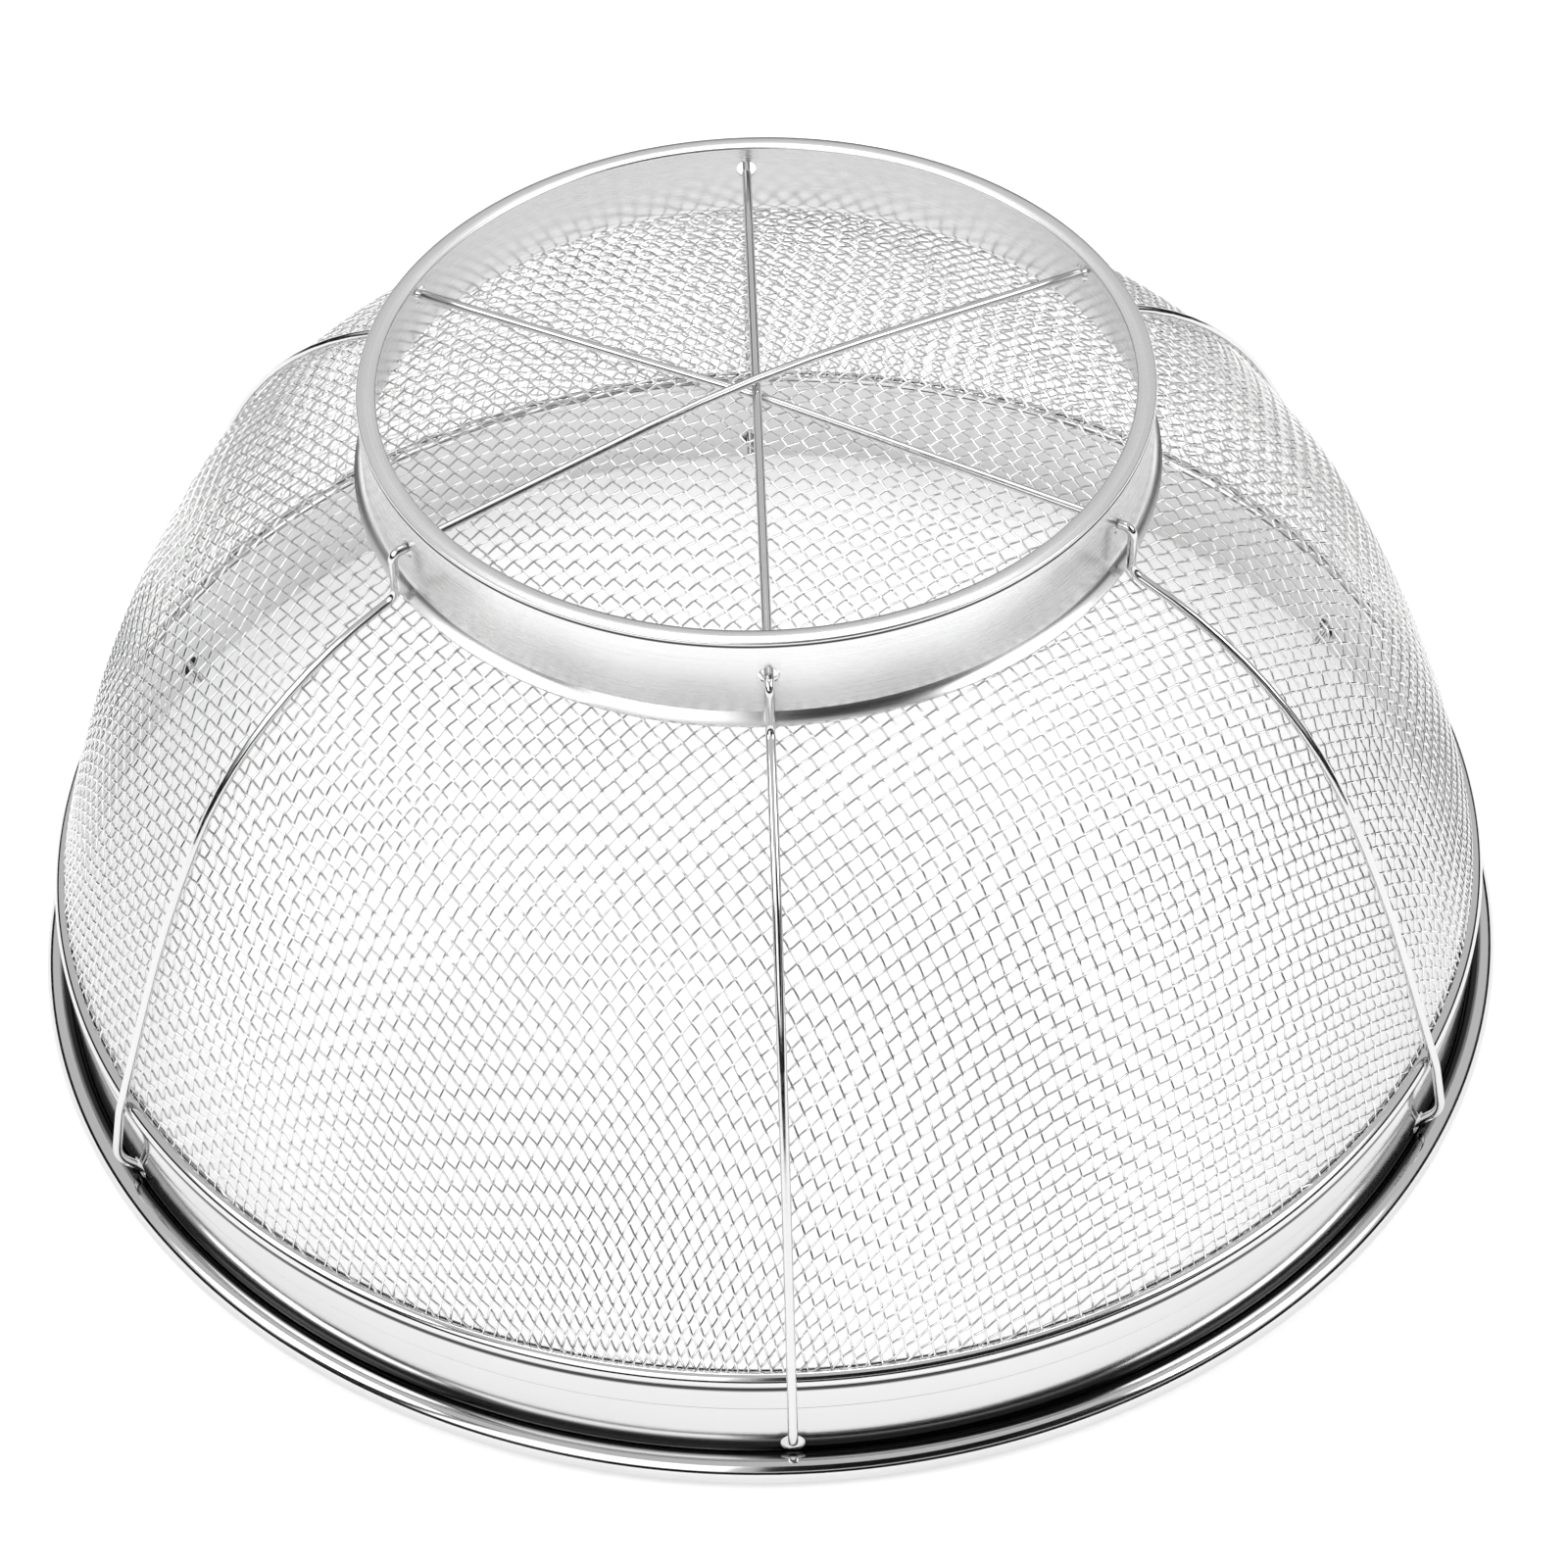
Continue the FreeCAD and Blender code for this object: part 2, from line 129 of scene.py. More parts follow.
class SheetSettings(bpy.types.PropertyGroup):
    """Sizes of the turned sheet-metal rings that their boxes don't give."""

    gauge: FloatProperty(
        name="Sheet gauge", description="Thickness of the rim band and the foot ring",
        default=0.5 * MM, **LENGTH,
    )
    curl_radius: FloatProperty(
        name="Curl radius", description="Outer radius of the rolled rim's round section",
        default=2.7 * MM, **LENGTH,
    )
    curl_slit: FloatProperty(
        name="Curl slit", description="Slit between the curl's free edge and the band",
        default=0.2 * MM, **LENGTH,
    )
    binding_gauge: FloatProperty(
        name="Binding gauge", description="Thickness of the binding ring",
        default=0.4 * MM, **LENGTH,
    )
    binding_proud: FloatProperty(
        name="Binding bead proud", description="How far the binding bead stands out from its skirt",
        default=0.2 * MM, **LENGTH,
    )
    lip_gap: FloatProperty(
        name="Lip gap",
        description="Slot between the binding bead's lips, where they are pressed on the cloth",
        default=0.3 * MM, **LENGTH,
    )
    hem_width: FloatProperty(
        name="Hem width", description="Width of the flat hem on top of the foot ring",
        default=3.5 * MM, **LENGTH,
    )
    hem_thickness: FloatProperty(
        name="Hem thickness", description="Thickness of the folded hem", default=1.0 * MM, **LENGTH
    )
    hem_round: FloatProperty(
        name="Hem round", description="Rounding of the hem's edges", default=0.45 * MM, **LENGTH
    )
    hem_crown: FloatProperty(
        name="Hem crown", description="Slope at the edges of the hem's slightly rounded top",
        default=math.radians(18), subtype="ANGLE",
    )
    flare_radius: FloatProperty(
        name="Flare radius", description="Radius of the flare at the foot ring's lower edge",
        default=1.6 * MM, **LENGTH,
    )
    flare_dip: FloatProperty(
        name="Flare dip", description="How hollow the flare is between its lip and the band",
        default=0.12 * MM, **LENGTH,
    )
    foot_hole_radius: FloatProperty(
        name="Foot hole radius", description="Radius of a rib's hole in the foot ring",
        default=1.8 * MM, **LENGTH,
    )
    foot_hole_drop: FloatProperty(
        name="Foot hole drop", description="Drop of that hole below the foot ring's top",
        default=7.3 * MM, **LENGTH,
    )
    rim_hole_radius: FloatProperty(
        name="Rim hole radius", description="Radius of a rib's hole in the rim band",
        default=2.1 * MM, **LENGTH,
    )
    rim_hole_height: FloatProperty(
        name="Rim hole height", description="Height of that hole", default=6.8 * MM, **LENGTH
    )
    turned_steps: IntProperty(
        name="Turned steps", description="Facets round a turned ring", default=540, min=24
    )


class RibSettings(bpy.types.PropertyGroup):
    """Sizes of the long rib wires."""

    wire_radius: FloatProperty(
        name="Rib radius", description="Radius of a rib wire", default=0.85 * MM, **LENGTH
    )
    gap: FloatProperty(
        name="Rib gap", description="Gap between a rib and what it lies on",
        default=0.15 * MM, **LENGTH,
    )
    elbow_bend: FloatProperty(
        name="Elbow bend", description="Bend radius of a rib outside the foot ring",
        default=1.6 * MM, **LENGTH,
    )
    heel_bend: FloatProperty(
        name="Heel bend", description="Bend radius of a rib where it meets the cloth",
        default=3 * MM, **LENGTH,
    )
    bead_bend: FloatProperty(
        name="Bead bend", description="Bend radius of a rib below the binding bead",
        default=15 * MM, **LENGTH,
    )
    bow_bend: FloatProperty(
        name="Bow bend", description="Bend radius of a rib's bow beside the rim",
        default=6 * MM, **LENGTH,
    )
    bow_height: FloatProperty(
        name="Bow height", description="Height of the bow's corner", default=12.4 * MM, **LENGTH
    )
    bow_inset: FloatProperty(
        name="Bow inset", description="How far the bow's corner is inside the rim's edge",
        default=0.9 * MM, **LENGTH,
    )
    tail: FloatProperty(
        name="Rib tail", description="Length of a rib's end inside the rim band",
        default=4 * MM, **LENGTH,
    )
    wire_sides: IntProperty(
        name="Rib sides", description="Flat sides round a rib wire", default=24, min=6
    )


class SteelSettings(bpy.types.PropertyGroup):
    """Colours of the steel parts."""

    cloth_colour: FloatVectorProperty(
        name="Cloth colour", description="Colour of the bright wire of the cloth",
        default=(0.80, 0.80, 0.80), subtype="COLOR",
    )
    rim_colour: FloatVectorProperty(
        name="Rim colour", description="Colour of the polished rim",
        default=(0.72, 0.72, 0.72), subtype="COLOR",
    )
    foot_colour: FloatVectorProperty(
        name="Foot ring colour", description="Colour of the satin foot ring",
        default=(0.84, 0.84, 0.84), subtype="COLOR",
    )
    rib_colour: FloatVectorProperty(
        name="Rib colour", description="Colour of the drawn rib wires",
        default=(0.72, 0.72, 0.72), subtype="COLOR",
    )


class StageSettings(bpy.types.PropertyGroup):
    """Floor, light and camera."""

    floor_glow: FloatProperty(
        name="Floor glow", description="Light given off by the lit white table", default=0.34
    )
    sky_strength: FloatProperty(
        name="Sky strength", description="Brightness of the tent round the table", default=0.66
    )
    camera_distance: FloatProperty(
        name="Camera distance", description="From the origin", default=0.8465, **LENGTH
    )
    camera_elevation: FloatProperty(
        name="Camera elevation", description="Height of the view above level",
        default=math.radians(45.93), subtype="ANGLE",
    )
    camera_azimuth: FloatProperty(
        name="Camera azimuth", description="Bearing of the camera from +X",
        default=math.radians(-90.67), subtype="ANGLE",
    )
    camera_pan: FloatProperty(
        name="Camera pan", description="Aim right of the origin",
        default=math.radians(0.229), subtype="ANGLE",
    )
    camera_tilt: FloatProperty(
        name="Camera tilt", description="Aim above the origin",
        default=math.radians(1.602), subtype="ANGLE",
    )
    camera_roll: FloatProperty(
        name="Camera roll", description="Roll of the camera",
        default=math.radians(-1.489), subtype="ANGLE",
    )
    camera_lens: FloatProperty(name="Focal length", description="In millimetres", default=99.48)


# ---------------------------------------------------------------- node helpers


def new_material(name):
    """Fresh node material with its shader and object coordinates."""
    material = bpy.data.materials.new(name)
    material.use_nodes = True
    tree = material.node_tree
    shader = tree.nodes["Principled BSDF"]
    place = tree.nodes.new("ShaderNodeTexCoord").outputs["Object"]
    return material, tree, shader, place


def ramp(tree, source, low, high, start=0.0, end=1.0):
    """Map a value from one range to another, clamped."""
    node = tree.nodes.new("ShaderNodeMapRange")
    node.inputs["From Min"].default_value = start
    node.inputs["From Max"].default_value = end
    node.inputs["To Min"].default_value = low
    node.inputs["To Max"].default_value = high
    tree.links.new(source, node.inputs["Value"])
    return node.outputs["Result"]


def noise(tree, place, scale, detail=3.0):
    node = tree.nodes.new("ShaderNodeTexNoise")
    node.inputs["Scale"].default_value = scale
    node.inputs["Detail"].default_value = detail
    tree.links.new(place, node.inputs["Vector"])
    return node.outputs["Fac"]


def math_node(tree, kind, operation, values, out):
    """Math node whose inputs are sockets to link or plain values."""
    node = tree.nodes.new(kind)
    node.operation = operation
    for value, entry in zip(values, node.inputs):
        if isinstance(value, bpy.types.NodeSocket):
            tree.links.new(value, entry)
        else:
            entry.default_value = value
    return node.outputs[out]


def number_math(tree, operation, *values):
    return math_node(tree, "ShaderNodeMath", operation, values, "Value")


def vector_math(tree, operation, *values, out="Vector"):
    return math_node(tree, "ShaderNodeVectorMath", operation, values, out)


def combine(tree, **parts):
    """Vector put together from sockets for X, Y or Z."""
    node = tree.nodes.new("ShaderNodeCombineXYZ")
    for name, part in parts.items():
        tree.links.new(part, node.inputs[name])
    return node.outputs["Vector"]


def from_axis(tree, place):
    """A point's bearing from the upright axis as a flat vector, its radius and its height."""
    split = tree.nodes.new("ShaderNodeSeparateXYZ")
    tree.links.new(place, split.inputs["Vector"])
    flat = vector_math(tree, "MULTIPLY", place, (1, 1, 0))
    return flat, vector_math(tree, "LENGTH", flat, out="Value"), split.outputs["Z"]


def round_axis(tree, place, turn_scale, radius_scale):
    """Coordinates that follow a turned piece: slow round its axis, fast across it."""
    flat, radius, height = from_axis(tree, place)
    unit = vector_math(tree, "NORMALIZE", flat)
    slow = vector_math(tree, "MULTIPLY", unit, (turn_scale, turn_scale, turn_scale))
    across = number_math(tree, "ADD", radius, height)
    fast = number_math(tree, "MULTIPLY", across, radius_scale)
    return vector_math(tree, "ADD", slow, combine(tree, Z=fast))


def tint(tree, source, colour, depth):
    """Colour that varies a little darker with a value."""
    node = tree.nodes.new("ShaderNodeMix")
    node.data_type = "RGBA"
    node.inputs["A"].default_value = (*[part * (1 - depth) for part in colour], 1)
    node.inputs["B"].default_value = (*colour, 1)
    tree.links.new(source, node.inputs["Factor"])
    return node.outputs["Result"]


def bump(tree, source, shader, distance, strength=1.0):
    node = tree.nodes.new("ShaderNodeBump")
    node.inputs["Distance"].default_value = distance
    node.inputs["Strength"].default_value = strength
    tree.links.new(source, node.inputs["Height"])
    tree.links.new(node.outputs["Normal"], shader.inputs["Normal"])


# ---------------------------------------------------------------- finishes


def drawn_finish(name, colour, patches, marks, rough, depth):
    """Bright drawn stainless wire: draw marks, and patches a shade duller."""
    material, tree, shader, place = new_material(name)
    shader.inputs["Metallic"].default_value = 1.0
    dull = noise(tree, place, *patches)
    fine = noise(tree, place, *marks)
    tree.links.new(tint(tree, dull, colour, 0.10), shader.inputs["Base Color"])
    tree.links.new(ramp(tree, fine, *rough), shader.inputs["Roughness"])
    bump(tree, fine, shader, *depth)
    return material


def cloth_finish(colour):
    rough, depth = (0.05, 0.14), (0.004 * MM, 0.5)
    return drawn_finish("steel_cloth_wire", colour, (60.0, 4.0), (2600.0, 2.0), rough, depth)


def rib_finish(colour):
    rough, depth = (0.06, 0.20, 0.2, 0.8), (0.006 * MM, 0.35)
    return drawn_finish("steel_rib_wire", colour, (45.0, 5.0), (900.0, 4.0), rough, depth)


# Painted shade in the seams of the turned rings: how strong it is, how wide its darkest core is,
# and its near-black colour.
SEAM_SHADE_STRENGTH = 0.96
SEAM_SHADE_CORE = 0.45
SEAM_SHADE_COLOUR = (0.02, 0.02, 0.02, 1)


def painted_seam_shade(tree, place, radius, height, reach):
    """How much painted shade a seam gets: most at its circle round the axis, none beyond its reach.
    """
    _, length, level = from_axis(tree, place)
    section = combine(tree, X=length, Y=level)
    away = vector_math(tree, "DISTANCE", section, (radius, height, 0), out="Value")
    return ramp(tree, away, SEAM_SHADE_STRENGTH, 0.0, SEAM_SHADE_CORE * reach, reach)


def turned_finish(name, colour, smooth, rough, grain, depth, seams=()):
    """Sheet steel polished while spinning: rings of fine scratches, and painted shade, near black,
    in its seams.
    """
    material, tree, shader, place = new_material(name)
    shader.inputs["Metallic"].default_value = 1.0
    lines = noise(tree, round_axis(tree, place, 2.0, grain), 1.0, 5.0)
    wear = noise(tree, place, 22.0, 5.0)
    shade = tint(tree, wear, colour, 0.09)
    # Each seam mixes painted shade, near black, into the colour.
    for radius, height, reach in seams:
        seam_shading = tree.nodes.new("ShaderNodeMix")
        seam_shading.data_type = "RGBA"
        seam_shading.inputs["B"].default_value = SEAM_SHADE_COLOUR
        tree.links.new(painted_seam_shade(tree, place, radius, height, reach), seam_shading.inputs["Factor"])
        tree.links.new(shade, seam_shading.inputs["A"])
        shade = seam_shading.outputs["Result"]
    tree.links.new(shade, shader.inputs["Base Color"])
    mixed = number_math(tree, "MULTIPLY", lines, ramp(tree, wear, 0.7, 1.3))
    tree.links.new(ramp(tree, mixed, smooth, rough, 0.25, 0.8), shader.inputs["Roughness"])
    bump(tree, lines, shader, depth, 0.6)
    return material


def give_finish(node_name, material):
    """Put a finish on a CAD node."""
    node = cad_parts[node_name]
    node.data.materials.clear()
    node.data.materials.append(material)


# ---------------------------------------------------------------- cloth


def heading(slope):
    return np.array([math.cos(slope), -math.sin(slope)])


def outward(slope):
    return np.array([math.sin(slope), math.cos(slope)])


class BowlSection:
    """Half section of the bowl as three tangent arcs: dome, shoulder and side."""

    STEP = 0.2 * MM
    BEYOND = 40 * MM

    def __init__(self, cloth):
        seat_slope = 2 * math.atan(cloth.dome_rise / cloth.seat_radius)
        mouth_slope = math.pi / 2 - cloth.mouth_lean
        top = np.array([0.0, cloth.dome_height])
        seat = np.array([cloth.seat_radius, cloth.dome_height - cloth.dome_rise])
        mouth = np.array([cloth.mouth_radius, cloth.mouth_height])
        self.arcs = []
        self.length, self.radius, self.height, self.slope = [0.0], [0.0], [cloth.dome_height], [0.0]
        half_chord = np.linalg.norm(seat - top) / 2
        self.add_arc(top, 0.0, seat_slope, half_chord / math.cos(seat_slope / 2))
        # The shoulder and the side have equal tangents.
        across = mouth - seat
        both = heading(seat_slope) + heading(mouth_slope)
        spread = 1 - heading(seat_slope) @ heading(mouth_slope)
        along = across @ both
        reach = (math.sqrt(along**2 + 2 * spread * across @ across) - along) / (2 * spread)
        run = across - both * reach
        waist = math.atan2(-run[1], run[0])
        end = self.add_arc(seat, seat_slope, waist, reach)
        self.add_arc(end, waist, mouth_slope, reach)
        self.end = self.length[-1]
        last = np.array([self.radius[-1], self.height[-1]]) + heading(mouth_slope) * self.BEYOND
        self.length.append(self.end + self.BEYOND)
        self.radius.append(last[0])
        self.height.append(last[1])
        self.slope.append(mouth_slope)
        self.length, self.radius, self.height, self.slope = [
            np.array(row) for row in (self.length, self.radius, self.height, self.slope)
        ]

    def add_arc(self, start, first, last, reach):
        bend = reach / math.tan((last - first) / 2)
        centre = start - outward(first) * bend
        self.arcs.append((centre, bend, first, last))
        count = max(2, int(bend * (last - first) / self.STEP))
        base = self.length[-1]
        for slope in np.linspace(first, last, count + 1)[1:]:
            spot = centre + outward(slope) * bend
            self.length.append(base + (slope - first) * bend)
            self.radius.append(spot[0])
            self.height.append(spot[1])
            self.slope.append(slope)
        return centre + outward(last) * bend

    def spot(self, run, turn):
        """Points on the bowl, from lengths along the section and turns round the axis."""
        radius = np.interp(run, self.length, self.radius)
        height = np.interp(run, self.length, self.height)
        return np.stack([radius * np.cos(turn), radius * np.sin(turn), height], -1)

    def normal(self, run, turn):
        slope = np.interp(run, self.length, self.slope)
        level = np.sin(slope)
        return np.stack([level * np.cos(turn), level * np.sin(turn), np.cos(slope)], -1)

    def nearest(self, points):
        """Lengths along the section of the closest places to some points."""
        radius = np.hypot(points[:, 0], points[:, 1])
        gap = (self.radius[None] - radius[:, None]) ** 2 + (self.height[None] - points[:, 2:]) ** 2
        return self.length[np.argmin(gap, axis=1)]


def drape_quarter(section, pitch, count):
    """Crossings of a quarter of the cloth, each one pitch from the two before it.

    Wires can't stretch, so the cloth follows the bowl by turning its square cells to diamonds.
    """
    run = np.full((count, count), np.nan)
    turn = np.full((count, count), np.nan)
    steps = np.arange(count) * pitch
    run[:, 0], turn[:, 0] = steps, 0.0
    run[0, :], turn[0, :] = steps, math.pi / 2
    limit = section.length[-1] - 2 * pitch
    nudge = 1e-6
    for diagonal in range(2, 2 * count - 1):
        i = np.arange(max(1, diagonal - count + 1), min(count, diagonal))
        j = diagonal - i
        usable = (run[i - 1, j] < limit) & (run[i, j - 1] < limit) & (run[i - 1, j - 1] < limit)
        i, j = i[usable], j[usable]
        if len(i) == 0:
            break
        side_a = section.spot(run[i - 1, j], turn[i - 1, j])
        side_b = section.spot(run[i, j - 1], turn[i, j - 1])
        corner = section.spot(run[i - 1, j - 1], turn[i - 1, j - 1])
        guess = side_a + side_b - corner
        u = np.maximum(section.nearest(guess), nudge)
        v = np.arctan2(guess[:, 1], guess[:, 0])
        for _ in range(12):
            girth = np.maximum(np.interp(u, section.length, section.radius), pitch)

            def misses(u, v):
                here = section.spot(u, v)
                return [np.linalg.norm(here - side, axis=-1) - pitch for side in (side_a, side_b)]

            miss = misses(u, v)
            by_u = [(after - now) / nudge for after, now in zip(misses(u + nudge, v), miss)]
            by_v = [(after - now) / nudge for after, now in zip(misses(u, v + nudge / girth), miss)]
            det = by_u[0] * by_v[1] - by_v[0] * by_u[1]
            u -= np.clip((miss[0] * by_v[1] - by_v[0] * miss[1]) / det, -pitch, pitch)
            v -= np.clip((by_u[0] * miss[1] - miss[0] * by_u[1]) / det, -pitch, pitch) / girth
        missed = np.abs(misses(u, v)).max(axis=0) > 0.02 * pitch
        lost = (u <= run[i - 1, j - 1] + 0.1 * pitch) | missed
        run[i, j] = np.where(lost, np.nan, u)
        turn[i, j] = np.where(lost, np.nan, v)
    return run, turn


def drape_cloth(section, pitch):
    """Crossings of the whole cloth, as lengths and turns on one square grid."""
    count = int((section.end + 4 * pitch) / pitch) + 2
    run, turn = drape_quarter(section, pitch, count)
    grid_run = np.full((2 * count - 1, 2 * count - 1), np.nan)
    grid_turn = grid_run.copy()
    i, j = np.meshgrid(np.arange(count), np.arange(count), indexing="ij")
    for quarter, (across, up) in enumerate([(i, j), (-j, i), (-i, -j), (j, -i)]):
        grid_run[across + count - 1, up + count - 1] = run
        grid_turn[across + count - 1, up + count - 1] = turn + quarter * math.pi / 2
    return grid_run, grid_turn


def smooth_waves(points, seed, wavelength):
    """Slow random waves over the cloth, from a few sines, within about one either way."""
    generator = np.random.default_rng(seed)
    total = np.zeros(len(points))
    for _ in range(6):
        direction = generator.normal(size=3)
        length = wavelength * generator.uniform(0.6, 1.8)
        direction *= 2 * math.pi / length / np.linalg.norm(direction)
        total += np.sin(points @ direction + generator.uniform(0, 2 * math.pi))
    return total / 3


def cut_wire(run, points, normals, lifts, end):
    """The stretch of one wire up to the bowl's mouth, with an end set exactly there."""
    inside = np.flatnonzero(run <= end)
    if len(inside) < 2:
        return None
    first, last = inside[0], inside[-1]
    rows = [np.column_stack([points, normals, lifts])[first : last + 1]]
    for edge, beyond in ((first, first - 1), (last, last + 1)):
        if not 0 <= beyond < len(run) or not np.isfinite(run[beyond]):
            continue
        share = (end - run[edge]) / (run[beyond] - run[edge])
        if share < 0.05:
            continue
        row_edge = np.concatenate([points[edge], normals[edge], [lifts[edge]]])
        row_beyond = np.concatenate([points[beyond], normals[beyond], [lifts[beyond]]])
        row = (row_edge + (row_beyond - row_edge) * share)[None]
        rows = [row] + rows if edge == first and beyond < edge else rows + [row]
    return np.concatenate(rows)


def cloth_wires(section, cloth, along_first):
    """Wires of one direction, each as rows of point, normal and over (+1) or under (-1)."""
    run, turn = drape_cloth(section, cloth.pitch)
    middle = len(run) // 2
    turn = turn + cloth.turned
    sign = 1 - 2.0 * (np.add.outer(np.arange(len(run)), np.arange(len(run))) % 2)
    if not along_first:
        run, turn, sign = run.T, turn.T, -sign.T
    wires = []
    for column in range(len(run)):
        valid = np.isfinite(run[:, column])
        if not valid[middle] or run[middle, column] > section.end:
            continue
        low = high = middle
        while low > 0 and valid[low - 1]:
            low -= 1
        while high < len(run) - 1 and valid[high + 1]:
            high += 1
        lengths, turns = run[low : high + 1, column], turn[low : high + 1, column]
        points = section.spot(lengths, turns)
        normals = section.normal(lengths, turns)
        drift = [smooth_waves(points, seed, 9 * cloth.pitch) for seed in (3, 7, 11)]
        calm = np.clip((section.end - lengths) / (4 * cloth.pitch), 0, 1)[:, None]
        wander = np.stack(drift, -1) * cloth.wander * calm
        wander -= normals * np.sum(wander * normals, axis=-1)[:, None]
        lifts = sign[low : high + 1, column]
        wire = cut_wire(lengths, points + wander, normals, lifts, section.end)
        if wire is not None and len(wire) > 2:
            wires.append(wire)
    return wires


def crimped_wire_tree():
    """Geometry nodes: a chain of crossings becomes a round wire that weaves over and under."""
    tree = bpy.data.node_groups.new("crimped_wire", "GeometryNodeTree")
    add = tree.interface.new_socket
    add(name="Geometry", in_out="INPUT", socket_type="NodeSocketGeometry")
    for name, kind in (
        ("Wire radius", "NodeSocketFloat"),
        ("Crimp", "NodeSocketFloat"),
        ("Sides", "NodeSocketInt"),
        ("Steps", "NodeSocketInt"),
        ("Finish", "NodeSocketMaterial"),
    ):
        add(name=name, in_out="INPUT", socket_type=kind)
    add(name="Geometry", in_out="OUTPUT", socket_type="NodeSocketGeometry")
    nodes = tree.nodes
    entry = nodes.new("NodeGroupInput")
    leave = nodes.new("NodeGroupOutput")

    normal = nodes.new("GeometryNodeInputNamedAttribute")
    normal.data_type = "FLOAT_VECTOR"
    normal.inputs["Name"].default_value = "cloth_normal"
    lift = nodes.new("GeometryNodeInputNamedAttribute")
    lift.data_type = "FLOAT"
    lift.inputs["Name"].default_value = "lift"
    height = number_math(tree, "MULTIPLY", lift.outputs["Attribute"], entry.outputs["Crimp"])
    offset = nodes.new("ShaderNodeVectorMath")
    offset.operation = "SCALE"
    shift = nodes.new("GeometryNodeSetPosition")
    to_curve = nodes.new("GeometryNodeMeshToCurve")
    spline = nodes.new("GeometryNodeCurveSplineType")
    spline.spline_type = "CATMULL_ROM"
    detail = nodes.new("GeometryNodeSetSplineResolution")
    circle = nodes.new("GeometryNodeCurvePrimitiveCircle")
    sweep = nodes.new("GeometryNodeCurveToMesh")
    sweep.inputs["Fill Caps"].default_value = True
    realize = nodes.new("GeometryNodeRealizeInstances")
    finish = nodes.new("GeometryNodeSetMaterial")
    for start, end in (
        (normal.outputs["Attribute"], offset.inputs[0]),
        (height, offset.inputs["Scale"]),
        (entry.outputs["Geometry"], shift.inputs["Geometry"]),
        (offset.outputs["Vector"], shift.inputs["Offset"]),
        (shift.outputs["Geometry"], to_curve.inputs["Mesh"]),
        (to_curve.outputs["Curve"], spline.inputs["Curve"]),
        (spline.outputs["Curve"], detail.inputs["Geometry"]),
        (entry.outputs["Steps"], detail.inputs["Resolution"]),
        (detail.outputs["Geometry"], sweep.inputs["Curve"]),
        (entry.outputs["Sides"], circle.inputs["Resolution"]),
        (entry.outputs["Wire radius"], circle.inputs["Radius"]),
        (circle.outputs["Curve"], sweep.inputs["Profile Curve"]),
        (sweep.outputs["Mesh"], realize.inputs["Geometry"]),
        (realize.outputs["Geometry"], finish.inputs["Geometry"]),
        (entry.outputs["Finish"], finish.inputs["Material"]),
        (finish.outputs["Geometry"], leave.inputs["Geometry"]),
    ):
        tree.links.new(start, end)
    return tree


def new_object(name, data):
    """Object for a mesh, a light or a camera, linked to the scene."""
    made = bpy.data.objects.new(name, data)
    bpy.context.scene.collection.objects.link(made)
    return made


def mesh_object(name, points, edges=(), faces=()):
    mesh = bpy.data.meshes.new(name)
    mesh.from_pydata(points, edges, faces)
    return new_object(name, mesh)


def chains_object(name, wires):
    """Mesh of bare edges, one chain for each wire, with what the node tree reads."""
    rows = np.concatenate(wires)
    edges, start = [], 0
    for wire in wires:
        edges += [(start + k, start + k + 1) for k in range(len(wire) - 1)]
        start += len(wire)
    made = mesh_object(name, rows[:, :3].tolist(), edges)
    mesh = made.data
    normals = mesh.attributes.new("cloth_normal", "FLOAT_VECTOR", "POINT")
    normals.data.foreach_set("vector", rows[:, 3:6].astype(np.float32).ravel())
    lifts = mesh.attributes.new("lift", "FLOAT", "POINT")
    lifts.data.foreach_set("value", rows[:, 6].astype(np.float32))
    return made


def set_input(modifier, name, value):
    """Set a node tree's input by its socket's identifier."""
    for item in modifier.node_group.interface.items_tree:
        if item.item_type == "SOCKET" and item.in_out == "INPUT" and item.name == name:
            modifier[item.identifier] = value
            return
    raise RuntimeError(f"the node tree has no input named {name}")


def to_plain_mesh(made):
    """Bake an object's modifiers into a plain, smooth mesh and take them off."""
    bpy.context.view_layer.update()
    graph = bpy.context.evaluated_depsgraph_get()
    mesh = bpy.data.meshes.new_from_object(made.evaluated_get(graph))
    made.modifiers.clear()
    old = made.data
    made.data = mesh
    bpy.data.meshes.remove(old)
    mesh.name = made.name
    if len(mesh.polygons) == 0:
        raise RuntimeError(f"{made.name} came out empty")
    mesh.polygons.foreach_set("use_smooth", [True] * len(mesh.polygons))


def draw_wires(made, tree, radius, crimp, sides, steps, material):
    """Let the node tree turn an object's chains into wires, and keep the plain mesh."""
    modifier = made.modifiers.new("wire", "NODES")
    modifier.node_group = tree
    set_input(modifier, "Wire radius", radius)
    set_input(modifier, "Crimp", crimp)
    set_input(modifier, "Sides", sides)
    set_input(modifier, "Steps", steps)
    set_input(modifier, "Finish", material)
    to_plain_mesh(made)


def share_out(wires, count):
    """Split wires into neighbouring groups of about the same length."""
    sizes = np.cumsum([len(wire) for wire in wires])
    groups = [[] for _ in range(count)]
    for wire, size in zip(wires, sizes):
        groups[min(count - 1, int((size - 1) * count / sizes[-1]))].append(wire)
    return groups


